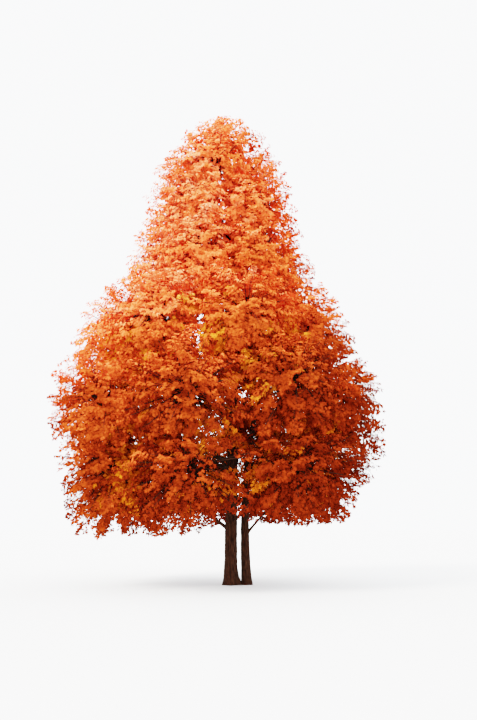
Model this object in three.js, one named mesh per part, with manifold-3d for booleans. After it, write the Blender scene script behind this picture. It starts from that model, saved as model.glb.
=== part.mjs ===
// A maple in autumn leaf: two stems from one root crown, their boughs, and masses of foliage.
// Millimetres, +Z up. The origin is the middle of the main stem's flat cut at ground level.
// -Y faces the viewer.

import * as THREE from "three";
import { mergeVertices } from "three/addons/utils/BufferGeometryUtils.js";
import Module from "manifold-3d";

const wasm = await Module();
wasm.setup();

const UP = new THREE.Vector3(0, 0, 1);

// Whole tree
const TREE_HEIGHT = 15100;
const CLEARANCE = 0.3; // between two pieces that meet
const CROWN_PROFILE = [
  // height above the ground, the crown's reach there, and how far its middle stands from the main stem's foot
  [1000, 3600, -800],
  [2400, 4300, -550],
  [3600, 4850, -300],
  [5200, 5050, -450],
  [6000, 4900, -450],
  [6700, 4500, -450],
  [7300, 4200, -500],
  [8100, 4100, -500],
  [8700, 3450, -400],
  [9400, 3050, -350],
  [11300, 2550, -400],
  [12200, 2450, -400],
  [13400, 2000, -380],
  [14200, 1400, -250],
  [14700, 750, -200],
  [TREE_HEIGHT, 150, -200],
];
// The crown's underside hangs lower to either side of the stems than before them, with a ripple
const UNDERSIDE = { height: 1950, x: 100, width: 1300, left: 500, right: 200, ripple: 100, wave: 430 };

// Stems. The main one leans a little towards +X and back again.
// Its root flare bulges towards the second one's foot.
const MAIN_STEM = {
  height: 13300,
  radius: 190,
  tip: 30,
  taper: 1.15,
  lean: 150,
  leanLength: 19000,
  flare: 50,
  flareHeight: 200,
  buttresses: 4,
  buttressDepth: 0.35,
  bridge: 120,
  bridgeWidth: 6,
  sides: 14,
  segments: 14,
};
const SECOND_STEM = {
  foot: new THREE.Vector3(470, 110, 0),
  waist: new THREE.Vector3(230, 150, 3125),
  top: new THREE.Vector3(1000, 620, 6250),
  radius: 144,
  tip: 52,
  flare: 30,
  flareHeight: 180,
  sides: 10,
  segments: 8,
  sector: 0.55, // it carries the low boughs whose bearing is this near to its own, as a cosine
  lastTier: 4000,
  endsIn: "middle_1", // the mass that grows on from its tip
};

// Boughs
const BOUGH = {
  sides: 6,
  segments: 4,
  radius: 50, // at the trunk, on a bough of this length
  length: 3000,
  tip: 0.5, // share of its first radius
  collar: 0.45, // swelling where it leaves the trunk
  collarLength: 0.08, // share of its length
  entry: 950, // how far short of its mass's middle it ends
  drop: 290, // and how far below
};

// Foliage masses, in tiers from the skirt to the top. The limbs of a tier leave the trunk one above another,
// each a step above the last, from start upwards. Those with an arch are boughs, bowed by it. The rest are
// the stems of the masses themselves, and the top mass grows on from the trunk's tip.
const TIERS = [
  { name: "skirt", height: 2950, count: 7, bearing: 4, start: 1350, step: 140, arch: 300 },
  { name: "lower", height: 5050, count: 8, bearing: 34, start: 2950, step: 140, arch: -260 },
  { name: "middle", height: 7250, count: 7, bearing: 28, start: 4550, step: 170, arch: -380 },
  { name: "upper", height: 9450, count: 6, bearing: 8, start: 8000, step: 170 },
  { name: "high", height: 11250, count: 4, bearing: 50, start: 10050, step: 160 },
  { name: "crest", height: 13050, count: 3, bearing: 20, start: 11900, step: 190 },
  { name: "top", height: 14350, count: 1, bearing: 0 },
];
const MASS_DEPTH = 1330; // from a mass's middle out to the crown's edge
const MASS_RADIUS = 2300;
const MASS_MARGIN = 30; // half the gap between two masses
const STAGGER = 5; // neighbours round the trunk start this many steps apart
const HEIGHT_JITTER = 260;
const BEARING_JITTER = 7;
const STEM = {
  sides: 3,
  segments: 3,
  onBough: 1.6, // its corners' radius, in radii of its bough's tip
  onTrunk: 0.62, // and in radii of the trunk
  tip: 0.65, // share of its first radius
  out: 580, // how far it runs on past the mass's middle
  rise: 430,
  arch: 150,
};
const TOP_STEM_RISE = 250;

// Twigs that each open into a spray of leaves, with opposite pairs of sprays further back along them
const TWIG_DIRECTIONS = 18;
const TWIG_SHARE = 0.4; // of the room that a twig has
const TWIG_RADIUS = 0.34; // of its stem's
const INWARD_LIMIT = -0.35; // twigs that point further back to the trunk are left out
const STEM_SHARES = { back: 0.35, front: 0.8 }; // where along the stem the hindmost and foremost twigs start
const STEEP = 0.9; // above this rise a twig has no clear level across it
const TWIG_SEED = 1000;
const PAIRS = [
  { along: 0.7, spin: 0 },
  { along: 0.4, spin: Math.PI / 2 },
];
const PAIR_ANGLE = THREE.MathUtils.degToRad(62); // from the twig to a spray beside it
const ROLL = THREE.MathUtils.degToRad(75); // how far a twig's sprays are tilted, either way
const SPRAY_LENGTH = { least: 440, most: 1400 };
const SPRAY_SHARES = [1, 0.82, 0.66]; // lengths tried, in shares of the room for it
const SPRAY_WIDTH = 0.76; // of its length
const SPRAY_THICKNESS = 0.045; // of its length
const SPRAY_GAP = 118; // between two sprays
const LIMB_CLEARANCE = 150; // from a limb's bark to a spray
const STEM_CLEARANCE = 60; // and to one from the mass's own stem
const TWIG_CLEARANCE = 60;
const MARCH = 40; // steps in which room is measured
const LIMB_SAMPLES = 12; // straight stretches that a limb is measured as

const GOLDEN_ANGLE = Math.PI * (3 - Math.sqrt(5));

// Seeded numbers from 0 to 1
function dice(seed) {
  let state = (seed * 2654435761) >>> 0;
  return () => {
    state = (Math.imul(state, 1664525) + 1013904223) >>> 0;
    return state / 4294967296;
  };
}

function between(low, high, share) {
  return low + (high - low) * share;
}

// The crown's reach and its middle at a height, straight from one profile point to the next
function crownAt(z) {
  for (let i = 1; i < CROWN_PROFILE.length; i++) {
    const [z0, reach0, middle0] = CROWN_PROFILE[i - 1];
    const [z1, reach1, middle1] = CROWN_PROFILE[i];
    const share = Math.max(0, (z - z0) / (z1 - z0));
    if (z <= z1) return { reach: between(reach0, reach1, share), middle: between(middle0, middle1, share) };
  }
  return { reach: 0, middle: CROWN_PROFILE.at(-1)[2] };
}

function crownUnderside(x, y) {
  const { height, width, left, right, ripple, wave } = UNDERSIDE;
  const aside = (x - UNDERSIDE.x) / width;
  const drop = (aside < 0 ? left : right) * Math.min(1, Math.abs(aside));
  return height - drop + ripple * Math.sin(x / wave) * Math.cos(y / wave);
}

function bearingVector(degrees) {
  const angle = THREE.MathUtils.degToRad(degrees);
  return new THREE.Vector3(Math.cos(angle), Math.sin(angle), 0);
}

function bezier(a, b, c) {
  const curve = new THREE.QuadraticBezierCurve3(a, b, c);
  return (t) => curve.getPoint(t);
}

// Limbs: a path, a radius along it, and the direction that its rings are set out from

function mainStemPath(t) {
  const z = t * MAIN_STEM.height;
  const lean = MAIN_STEM.lean * Math.sin((Math.PI * z) / MAIN_STEM.leanLength) ** 2;
  return new THREE.Vector3(lean, 0, z);
}

function mainStemRadius(t, outward = UP) {
  const { height, radius, tip, taper, flare, flareHeight } = MAIN_STEM;
  const angle = Math.atan2(outward.y, outward.x);
  const lobes = 1 + MAIN_STEM.buttressDepth * Math.cos(MAIN_STEM.buttresses * angle);
  const towardsSecond = Math.max(0, outward.dot(SECOND_STEM.foot.clone().normalize()));
  const foot = flare * lobes + MAIN_STEM.bridge * towardsSecond ** MAIN_STEM.bridgeWidth;
  return between(radius, tip, t ** taper) + foot * Math.exp((-t * height) / flareHeight);
}

function secondStemRadius(t) {
  const { radius, tip, flare, flareHeight, top } = SECOND_STEM;
  return between(radius, tip, t) + flare * Math.exp((-t * top.z) / flareHeight);
}

const mainStem = {
  name: "trunk",
  path: mainStemPath,
  radius: mainStemRadius,
  side: new THREE.Vector3(0, 1, 0),
  level: true,
  sides: MAIN_STEM.sides,
  segments: MAIN_STEM.segments,
};
const secondStem = {
  name: "second_stem",
  path: bezier(SECOND_STEM.foot, SECOND_STEM.waist, SECOND_STEM.top),
  radius: secondStemRadius,
  side: new THREE.Vector3(0, 1, 0),
  level: true,
  sides: SECOND_STEM.sides,
  segments: SECOND_STEM.segments,
  cutBy: mainStem,
};

// The direction that a limb runs in at t, which its rings are square to
function headingAt(limb, t) {
  if (limb.level) return UP.clone();
  if (limb.squareTo && t === 0) return limb.squareTo.clone();
  const step = 0.01;
  return limb.path(Math.min(1, t + step)).sub(limb.path(Math.max(0, t - step))).normalize();
}

// Where a limb's path is at a height, for the two stems, which rise steadily
function stemAtHeight(stem, z) {
  return stem.path(z / stem.path(1).z);
}

// Mass middles, one ring of them for each tier
function layOutMasses() {
  const masses = [];
  for (const tier of TIERS) {
    for (let i = 0; i < tier.count; i++) {
      const number = masses.length;
      const roll = dice(number + 1);
      const alone = tier.count === 1;
      const turn = between(-BEARING_JITTER, BEARING_JITTER, roll());
      const outward = bearingVector(tier.bearing + (360 * i) / tier.count + turn);
      const z = tier.height + (alone ? 0 : between(-HEIGHT_JITTER, HEIGHT_JITTER, roll()));
      const crown = crownAt(z);
      const radius = Math.max(0, crown.reach - MASS_DEPTH);
      const site = outward.clone().multiplyScalar(radius).add(new THREE.Vector3(crown.middle, 0, z));
      const label = alone ? tier.name : `${tier.name}_${i + 1}`;
      masses.push({ number, tier, i, alone, label, outward, site });
    }
  }
  return masses;
}

function carrierOf(mass) {
  const towardsSecond = mass.outward.dot(SECOND_STEM.foot.clone().normalize());
  const isLow = mass.tier.start < SECOND_STEM.lastTier;
  return isLow && towardsSecond > SECOND_STEM.sector ? secondStem : mainStem;
}

// Where a mass's limb leaves the trunk: neighbours are set well apart in height
function startHeight({ tier, i }) {
  return tier.start + tier.step * ((i * STAGGER) % tier.count);
}

// The bough that ends inside a mass, on the side towards the trunk
function boughOf(mass) {
  const carrier = carrierOf(mass);
  const root = stemAtHeight(carrier, startHeight(mass));
  const inward = root.clone().sub(mass.site).setZ(0).normalize();
  const end = mass.site.clone().addScaledVector(inward, BOUGH.entry).addScaledVector(UP, -BOUGH.drop);
  const middle = root.clone().lerp(end, 0.5).addScaledVector(UP, mass.tier.arch);
  const base = BOUGH.radius * Math.sqrt(root.distanceTo(end) / BOUGH.length);
  return {
    name: `bough_${mass.label}`,
    path: bezier(root, middle, end),
    radius: (t) => base * (between(1, BOUGH.tip, t) + BOUGH.collar * Math.exp(-t / BOUGH.collarLength)),
    side: new THREE.Vector3().crossVectors(UP, inward).normalize(),
    sides: BOUGH.sides,
    segments: BOUGH.segments,
    cutBy: carrier,
  };
}

// The stem of a mass: on from a limb's tip, or out of the trunk
function stemOf(mass, bough) {
  const { site, outward, alone } = mass;
  if (alone) return stemOnTip(mainStem, MAIN_STEM.tip, site, site.clone().addScaledVector(UP, TOP_STEM_RISE));
  const end = site.clone().addScaledVector(outward, STEM.out).addScaledVector(UP, STEM.rise);
  if (bough) return stemOnTip(bough, bough.radius(1) * STEM.onBough, site, end);
  if (mass.label === SECOND_STEM.endsIn) return stemOnTip(secondStem, SECOND_STEM.tip, site, end);
  const height = startHeight(mass);
  const root = stemAtHeight(mainStem, height);
  const middle = root.clone().lerp(site, 0.5).addScaledVector(UP, STEM.arch);
  const radius = mainStem.radius(height / MAIN_STEM.height) * STEM.onTrunk;
  return { ...taperedStem(radius), path: bezier(root, middle, end), cutBy: mainStem };
}

// A stem that runs on from a limb's tip, just clear of it, past a mass's middle
function stemOnTip(limb, radius, site, end) {
  const heading = headingAt(limb, 1);
  const start = limb.path(1).addScaledVector(heading, CLEARANCE);
  const middle = start.clone().addScaledVector(heading, start.distanceTo(site) / 2);
  return { ...taperedStem(radius), path: bezier(start, middle, end), squareTo: heading };
}

function taperedStem(radius) {
  return {
    radius: (t) => radius * between(1, STEM.tip, t),
    side: new THREE.Vector3(0, 1, 0),
    sides: STEM.sides,
    segments: STEM.segments,
    pointed: true,
  };
}

// Solids

function toSolid(geometry) {
  const bare = new THREE.BufferGeometry();
  bare.setIndex(geometry.index);
  bare.setAttribute("position", geometry.attributes.position);
  const merged = mergeVertices(bare, 1e-3);
  return new wasm.Manifold(
    new wasm.Mesh({
      numProp: 3,
      vertProperties: merged.attributes.position.array,
      triVerts: new Uint32Array(merged.index.array),
    }),
  );
}

// A cylinder whose points are moved by place(t, x, z): t from 0 at its foot to 1, x and z on the unit circle
function reshapedCylinder(sides, segments, pointed, place) {
  const geometry = new THREE.CylinderGeometry(pointed ? 0 : 1, 1, 1, sides, segments);
  const position = geometry.attributes.position;
  for (let i = 0; i < position.count; i++) {
    const x = position.getX(i);
    const z = position.getZ(i);
    const spread = Math.hypot(x, z) || 1;
    const at = place(THREE.MathUtils.clamp(position.getY(i) + 0.5, 0, 1), x / spread, z / spread);
    position.setXYZ(i, at.x, at.y, at.z);
  }
  return toSolid(geometry);
}

// A limb's solid, grown by extra all round
function limbSolid(limb, extra = 0) {
  return reshapedCylinder(limb.sides, limb.segments, limb.pointed, (t, x, z) => {
    const along = headingAt(limb, t);
    const across = limb.side.clone().addScaledVector(along, -limb.side.dot(along)).normalize();
    const beside = new THREE.Vector3().crossVectors(across, along);
    const outward = across.multiplyScalar(x).addScaledVector(beside, z);
    const radius = outward.lengthSq() > 0 ? limb.radius(t, outward) + extra : 0;
    return limb.path(t).addScaledVector(outward, radius);
  });
}

// A spray of leaves as a thin blade. One with a twig is a three-sided tube that widens from the twig's end.
function spraySolid(spray) {
  return spray.from ? twigAndSpraySolid(spray) : sideSpraySolid(spray);
}

function twigAndSpraySolid({ from, root, heading, across, length, radius }) {
  const normal = new THREE.Vector3().crossVectors(across, heading);
  const widest = root.clone().addScaledVector(heading, length / 2);
  const tip = root.clone().addScaledVector(heading, length);
  const rings = [
    { at: from, width: radius, depth: radius },
    { at: root, width: radius, depth: radius },
    { at: widest, width: (length * SPRAY_WIDTH) / Math.sqrt(3), depth: (length * SPRAY_THICKNESS) / 1.5 },
    { at: tip, width: 0, depth: 0 },
  ];
  return reshapedCylinder(3, rings.length - 1, true, (t, x, z) => {
    const { at, width, depth } = rings[Math.round(t * (rings.length - 1))];
    return at.clone().addScaledVector(across, x * width).addScaledVector(normal, z * depth);
  });
}

function sideSpraySolid({ root, heading, across, length }) {
  const normal = new THREE.Vector3().crossVectors(heading, across);
  const basis = new THREE.Matrix4().makeBasis(
    heading.clone().multiplyScalar(length / 2),
    across.clone().multiplyScalar((length * SPRAY_WIDTH) / 2),
    normal.clone().multiplyScalar((length * SPRAY_THICKNESS) / 2),
  );
  basis.setPosition(root.clone().addScaledVector(heading, length / 2));
  return toSolid(new THREE.OctahedronGeometry(1).applyMatrix4(basis));
}

// The space of a mass: inside the crown, near its own middle, and on its own side of every neighbour
function isInside(mass, point, masses) {
  const { reach, middle } = crownAt(point.z);
  if (Math.hypot(point.x - middle, point.y) > reach) return false;
  if (point.z > TREE_HEIGHT || point.z < crownUnderside(point.x, point.y)) return false;
  if (point.distanceTo(mass.site) > MASS_RADIUS) return false;
  for (const other of masses) {
    if (other === mass) continue;
    const apart = other.site.clone().sub(mass.site);
    const halfway = mass.site.clone().lerp(other.site, 0.5);
    if (point.clone().sub(halfway).dot(apart.normalize()) > -MASS_MARGIN) return false;
  }
  return true;
}

function roomAlong(mass, from, heading, masses) {
  let room = 0;
  while (isInside(mass, from.clone().addScaledVector(heading, room + MARCH), masses)) room += MARCH;
  return room;
}

// True if every point is further from each limb's bark than the clearance
function isClear(points, limbs, clearance) {
  return limbs.every((limb) =>
    points.every((point) => {
      for (let i = 0; i < LIMB_SAMPLES; i++) {
        const line = new THREE.Line3(limb.samples[i], limb.samples[i + 1]);
        const nearest = line.closestPointToPoint(point, true, new THREE.Vector3());
        if (nearest.distanceTo(point) < limb.radius((i + 0.5) / LIMB_SAMPLES) + clearance) return false;
      }
      return true;
    }),
  );
}

function withSamples(limb) {
  limb.samples = Array.from({ length: LIMB_SAMPLES + 1 }, (_, i) => limb.path(i / LIMB_SAMPLES));
  return limb;
}

// Even directions over a sphere, from the one nearest to outward to the one that points furthest back
function evenDirection(k, count, turn, outward) {
  const forward = 1 - (2 * k + 1) / count;
  const angle = k * GOLDEN_ANGLE + turn;
  const side = new THREE.Vector3(-outward.y, outward.x, 0);
  const direction = side.multiplyScalar(Math.cos(angle)).addScaledVector(UP, Math.sin(angle));
  return direction.multiplyScalar(Math.sqrt(1 - forward ** 2)).addScaledVector(outward, forward);
}

// Points over a spray's blade that have to stay in its space and clear of limbs and other sprays
function sprayPoints(spray) {
  const points = [];
  for (const along of [0.17, 0.33, 0.5, 0.75, 1]) {
    const half = (0.5 - Math.abs(along - 0.5)) * spray.length * SPRAY_WIDTH;
    for (const side of along < 1 ? [-1, -0.5, 0, 0.5, 1] : [0]) {
      const point = spray.root.clone().addScaledVector(spray.heading, along * spray.length);
      points.push(point.addScaledVector(spray.across, side * half));
    }
  }
  return points;
}

// True if the points keep their distance from all the sprays so far
function isApart(points, sprays) {
  return sprays.every((spray) =>
    spray.points.every((other) => points.every((point) => point.distanceTo(other) > SPRAY_GAP)),
  );
}

// Adds the longest spray that fits at its place, and says whether one did
function addSpray(place, mass, masses, limbs, sprays) {
  const room = Math.min(SPRAY_LENGTH.most, roomAlong(mass, place.root, place.heading, masses));
  for (const share of SPRAY_SHARES) {
    const spray = { ...place, length: room * share };
    if (spray.length < SPRAY_LENGTH.least) return false;
    spray.points = sprayPoints(spray);
    if (!spray.points.every((point) => isInside(mass, point, masses))) continue;
    if (!isClear(spray.points, limbs, LIMB_CLEARANCE) || !isApart(spray.points, sprays)) continue;
    if (!isClear(spray.points, [mass.stem], STEM_CLEARANCE)) continue;
    sprays.push(spray);
    return true;
  }
  return false;
}

// A place for a spray on the side of a twig, a share of the way along it and spun round it
function besideTwig({ from, root, heading, across }, along, spin) {
  const spread = across.clone().applyAxisAngle(heading, spin);
  const normal = new THREE.Vector3().crossVectors(heading, spread);
  return {
    root: from.clone().lerp(root, along),
    heading: heading.clone().applyAxisAngle(normal, PAIR_ANGLE),
    across: spread.applyAxisAngle(normal, PAIR_ANGLE),
  };
}

// Twigs from a mass's stem in even directions, with their sprays
function growMass(mass, masses, limbs) {
  const roll = dice(TWIG_SEED + mass.number);
  const turn = roll() * 2 * Math.PI;
  const sprays = [];
  const others = limbs.filter((limb) => limb !== mass.stem);
  for (let k = 0; k < TWIG_DIRECTIONS; k++) {
    const direction = evenDirection(k, TWIG_DIRECTIONS, turn, mass.outward);
    const tilt = between(-ROLL, ROLL, roll());
    const forward = direction.dot(mass.outward);
    if (forward < INWARD_LIMIT && !mass.alone) continue;
    const share = between(STEM_SHARES.back, STEM_SHARES.front, (forward + 1) / 2);
    const from = mass.stem.path(share);
    const room = roomAlong(mass, mass.site, direction, masses);
    const root = mass.site.clone().addScaledVector(direction, room * TWIG_SHARE);
    const twigPoints = [from, from.clone().lerp(root, 0.5), root];
    if (!twigPoints.every((point) => isInside(mass, point, masses))) continue;
    if (!isClear(twigPoints, others, TWIG_CLEARANCE)) continue;
    const heading = root.clone().sub(from).normalize();
    const level = Math.abs(heading.z) > STEEP ? mass.outward : UP;
    const across = new THREE.Vector3().crossVectors(level, heading).normalize().applyAxisAngle(heading, tilt);
    const twig = { from, root, heading, across, radius: mass.stem.radius(share) * TWIG_RADIUS };
    if (!addSpray(twig, mass, masses, others, sprays)) continue;
    for (const { along, spin } of PAIRS) {
      for (const half of [0, Math.PI]) {
        addSpray(besideTwig(twig, along, spin + half), mass, masses, others, sprays);
      }
    }
  }
  return sprays;
}

// The outer skin of the largest body: hollows are filled and loose scraps are dropped
function wholeBody(solid) {
  return solid.decompose().sort((a, b) => b.volume() - a.volume())[0];
}

function toMesh(solid, name, material) {
  const made = solid.getMesh();
  const geometry = new THREE.BufferGeometry();
  geometry.setAttribute("position", new THREE.BufferAttribute(made.vertProperties, 3));
  geometry.setIndex(new THREE.BufferAttribute(made.triVerts, 1));
  geometry.computeVertexNormals();
  const mesh = new THREE.Mesh(geometry, material);
  mesh.name = name;
  return mesh;
}

// Materials: dark bark, and leaves that go from deep red low down to apricot at the top
const bark = new THREE.MeshStandardMaterial({ color: 0x3a2118, roughness: 0.95, metalness: 0 });
const LOW_LEAVES = new THREE.Color(0xa8350c);
const HIGH_LEAVES = new THREE.Color(0xf08a4c);

function foliageMaterial(tier) {
  const color = LOW_LEAVES.clone().lerp(HIGH_LEAVES, tier.height / TREE_HEIGHT);
  return new THREE.MeshStandardMaterial({ color, roughness: 0.8, metalness: 0 });
}

// The whole tree
function buildTree() {
  const masses = layOutMasses();
  const boughs = [];
  for (const mass of masses) {
    const bough = mass.tier.arch && mass.label !== SECOND_STEM.endsIn ? boughOf(mass) : null;
    if (bough) boughs.push(bough);
    mass.stem = stemOf(mass, bough);
  }
  const limbs = [mainStem, secondStem, ...boughs, ...masses.map((mass) => mass.stem)].map(withSamples);

  // A limb that grows out of a stem is cut back to stand just clear of it
  const seats = new Map([mainStem, secondStem].map((stem) => [stem, limbSolid(stem, CLEARANCE)]));
  const seated = (limb) => {
    const solid = limbSolid(limb);
    return limb.cutBy ? wholeBody(solid.subtract(seats.get(limb.cutBy))) : solid;
  };

  const tree = new THREE.Group();
  for (const limb of [mainStem, secondStem, ...boughs]) tree.add(toMesh(seated(limb), limb.name, bark));
  for (const mass of masses) {
    const sprays = growMass(mass, masses, limbs);
    const solid = wholeBody(wasm.Manifold.union([seated(mass.stem), ...sprays.map(spraySolid)]));
    tree.add(toMesh(solid, `foliage_${mass.label}`, foliageMaterial(mass.tier)));
  }
  return tree;
}

export default buildTree();
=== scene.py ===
# A maple in autumn leaf: bark with its relief, twigs and leaves, grown by the same rule as the solids.
# Metres, +Z up, with the viewer at -Y. The origin is the middle of the main stem's flat cut.

import math

import bpy
import numpy as np
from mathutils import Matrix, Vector


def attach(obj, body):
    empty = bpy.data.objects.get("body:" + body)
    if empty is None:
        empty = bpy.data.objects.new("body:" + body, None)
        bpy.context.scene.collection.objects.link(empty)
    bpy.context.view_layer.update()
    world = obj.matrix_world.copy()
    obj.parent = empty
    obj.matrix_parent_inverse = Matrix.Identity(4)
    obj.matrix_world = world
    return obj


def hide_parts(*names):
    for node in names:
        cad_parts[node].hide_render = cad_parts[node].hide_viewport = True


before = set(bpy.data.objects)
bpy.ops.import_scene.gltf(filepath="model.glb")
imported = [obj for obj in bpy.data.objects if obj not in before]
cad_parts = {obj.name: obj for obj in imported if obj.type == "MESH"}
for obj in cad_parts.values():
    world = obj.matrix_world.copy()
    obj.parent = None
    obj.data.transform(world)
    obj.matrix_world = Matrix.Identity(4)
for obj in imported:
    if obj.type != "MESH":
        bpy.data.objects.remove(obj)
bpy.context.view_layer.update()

UP = np.array([0.0, 0.0, 1.0])

# The tree's own sizes, as in the solids
TREE_HEIGHT = 15.1
CLEARANCE = 0.0003  # between two pieces that meet
CROWN_PROFILE = [
    # a height above the ground, the crown's reach there, and the place of its middle along X
    (1.0, 3.6, -0.8),
    (2.4, 4.3, -0.55),
    (3.6, 4.85, -0.3),
    (5.2, 5.05, -0.45),
    (6.0, 4.9, -0.45),
    (6.7, 4.5, -0.45),
    (7.3, 4.2, -0.5),
    (8.1, 4.1, -0.5),
    (8.7, 3.45, -0.4),
    (9.4, 3.05, -0.35),
    (11.3, 2.55, -0.4),
    (12.2, 2.45, -0.4),
    (13.4, 2.0, -0.38),
    (14.2, 1.4, -0.25),
    (14.7, 0.75, -0.2),
    (TREE_HEIGHT, 0.15, -0.2),
]
CROWN_HEIGHTS, CROWN_REACHES, CROWN_MIDDLES = zip(*CROWN_PROFILE)

# The crown's underside hangs lower to either side of the stems than before them, with a ripple
UNDERSIDE = {
    "height": 1.95,
    "x": 0.1,
    "width": 1.3,
    "left": 0.5,
    "right": 0.2,
    "ripple": 0.1,
    "wave": 0.43,
}

# Stems. The main one leans a little towards +X and back again.
# Its root flare bulges towards the second one's foot.
MAIN_STEM = {
    "height": 13.3,
    "radius": 0.19,
    "tip": 0.03,
    "taper": 1.15,
    "lean": 0.15,
    "lean_length": 19.0,
    "flare": 0.05,
    "flare_height": 0.2,
    "buttresses": 4,
    "buttress_depth": 0.35,
    "bridge": 0.12,
    "bridge_width": 6,
}
SECOND_STEM = {
    "foot": np.array([0.47, 0.11, 0.0]),
    "waist": np.array([0.23, 0.15, 3.125]),
    "top": np.array([1.0, 0.62, 6.25]),
    "radius": 0.144,
    "tip": 0.052,
    "flare": 0.03,
    "flare_height": 0.18,
    "sector": 0.55,  # it carries the low boughs whose bearing is this near to its own, as a cosine
    "last_tier": 4.0,  # and whose tier starts below this height
    "ends_in": "middle_1",  # the mass that grows on from its tip
}

BOUGH = {
    "radius": 0.05,  # at the trunk, on a bough of this length
    "length": 3.0,
    "tip": 0.5,  # share of its first radius
    "collar": 0.45,  # swelling where it leaves the trunk
    "collar_length": 0.08,  # share of its length
    "entry": 0.95,  # how far short of its mass's middle it ends
    "drop": 0.29,  # and how far below
}

# Foliage masses, in tiers from the skirt to the top. The limbs of a tier leave the trunk one above another,
# each a step above the last, from start upwards. Those with an arch are boughs, bowed by it. The rest are
# the stems of the masses themselves, and the top mass grows on from the trunk's tip.
TIERS = [
    {"name": "skirt", "height": 2.95, "count": 7, "bearing": 4, "start": 1.35, "step": 0.14, "arch": 0.3},
    {"name": "lower", "height": 5.05, "count": 8, "bearing": 34, "start": 2.95, "step": 0.14, "arch": -0.26},
    {"name": "middle", "height": 7.25, "count": 7, "bearing": 28, "start": 4.55, "step": 0.17, "arch": -0.38},
    {"name": "upper", "height": 9.45, "count": 6, "bearing": 8, "start": 8.0, "step": 0.17, "arch": None},
    {"name": "high", "height": 11.25, "count": 4, "bearing": 50, "start": 10.05, "step": 0.16, "arch": None},
    {"name": "crest", "height": 13.05, "count": 3, "bearing": 20, "start": 11.9, "step": 0.19, "arch": None},
    {"name": "top", "height": 14.35, "count": 1, "bearing": 0, "start": None, "step": 0, "arch": None},
]
MASS_DEPTH = 1.33  # from a mass's middle out to the crown's edge
MASS_RADIUS = 2.3
MASS_MARGIN = 0.03  # half the gap between two masses
STAGGER = 5  # neighbours round the trunk start this many steps apart
HEIGHT_JITTER = 0.26
BEARING_JITTER = 7
STEM = {
    "on_bough": 1.6,  # its corners' radius, in radii of its bough's tip
    "on_trunk": 0.62,  # and in radii of the trunk
    "tip": 0.65,  # share of its first radius
    "out": 0.58,  # how far it runs on past the mass's middle
    "rise": 0.43,
    "arch": 0.15,
}
TOP_STEM_RISE = 0.25

# Twigs that each open into a spray of leaves, with opposite pairs of sprays further back along them. The
# first growth is the one that the solids have, and the others fill the same space with finer ones. A spray
# is from least to most long, keeps the gap from other sprays and rolls by chance. A twig runs its share of
# the room that it has, and one that points further back to the trunk than the inward limit is left out.
FIRST_GROWTH = {"least": 0.44, "most": 1.4, "gap": 0.118, "inward": -0.35, "roll": 75}
FINE_GROWTH = {"least": 0.3, "most": 0.8, "gap": 0.085, "inward": -0.9, "roll": 40}
GROWTHS = [
    {"directions": 18, "share": 0.4, "seed": 1000, **FIRST_GROWTH},
    {"directions": 70, "share": 0.66, "seed": 2000, **FINE_GROWTH},
    {"directions": 34, "share": 0.3, "seed": 3000, **FINE_GROWTH},
    {"directions": 60, "share": 0.8, "seed": 4000, **FINE_GROWTH, "least": 0.22},
]
STEM_SHARES = {"back": 0.35, "front": 0.8}  # where along the stem the hindmost and foremost twigs start
STEEP = 0.9  # above this rise a twig has no clear level across it
PAIRS = [{"along": 0.7, "spin": 0.0}, {"along": 0.4, "spin": math.pi / 2}]
PAIR_ANGLE = math.radians(62)  # from the twig to a spray beside it
SPRAY_SHARES = [1.0, 0.82, 0.66]  # lengths tried, in shares of the room for it
SPRAY_WIDTH = 0.76  # of its length
SPRAY_ROWS = (0.17, 0.33, 0.5, 0.75, 1.0)  # where along a spray its room is tested, the last time at its tip
SPRAY_COLUMNS = (-1, -0.5, 0, 0.5, 1)  # and where across it, in shares of half its width there
LIMB_CLEARANCE = 0.15  # from a limb's bark to a spray
STEM_CLEARANCE = 0.06  # and to one from the mass's own stem
TWIG_CLEARANCE = 0.06
LIMB_MARGIN = 3 * LIMB_CLEARANCE  # only limbs that come this near to a mass are looked at
NEIGHBOUR_REACH = 2.0  # only points of other sprays this near to a spray's middle are looked at
MARCH = 0.04  # steps in which room is measured
LIMB_SAMPLES = 12  # straight stretches that a limb is measured as
GOLDEN_ANGLE = math.pi * (3 - math.sqrt(5))

# Twigs, as they are drawn
SPRAY_AXIS = 0.92  # share of a spray's length that its own twig runs
SPRAY_SAG = 0.09  # how far a spray's tip hangs, in shares of its length
SAG_LIMIT = 1.2  # how far along a spray the sag still grows, in shares of its length
TWIG_SIDES = 3
TWIG_SINK = 0.001  # how far back a spray's twig starts, inside the wood that it grows from
TWIG_FOOT = 0.016
TWIG_MIDDLE = 0.6  # share of its foot's radius, where its spray starts
TWIG_END = 0.004  # half way along its spray
LEAST_PAIRS = 2
SIDE_TWIG_SPACING = 0.13
SIDE_TWIG_SPAN = 0.9  # share of a spray's length that has side twigs
SIDE_TWIG_START = 0.65  # how far along its own stretch of that span each one leaves
SIDE_TWIG_LENGTHS = (0.8, 1.1)  # from least to most, in shares of the way to the spray's outline
SIDE_TWIG_ANGLE = math.radians(50)
SIDE_TWIG_LIFT = math.radians(38)  # how far a side twig may stand out of its spray, either way
SIDE_TWIG_FOOT = 0.0035
STEM_ROUND = 0.4  # a mass's stem on the trunk, in shares of the trunk's radius

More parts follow.
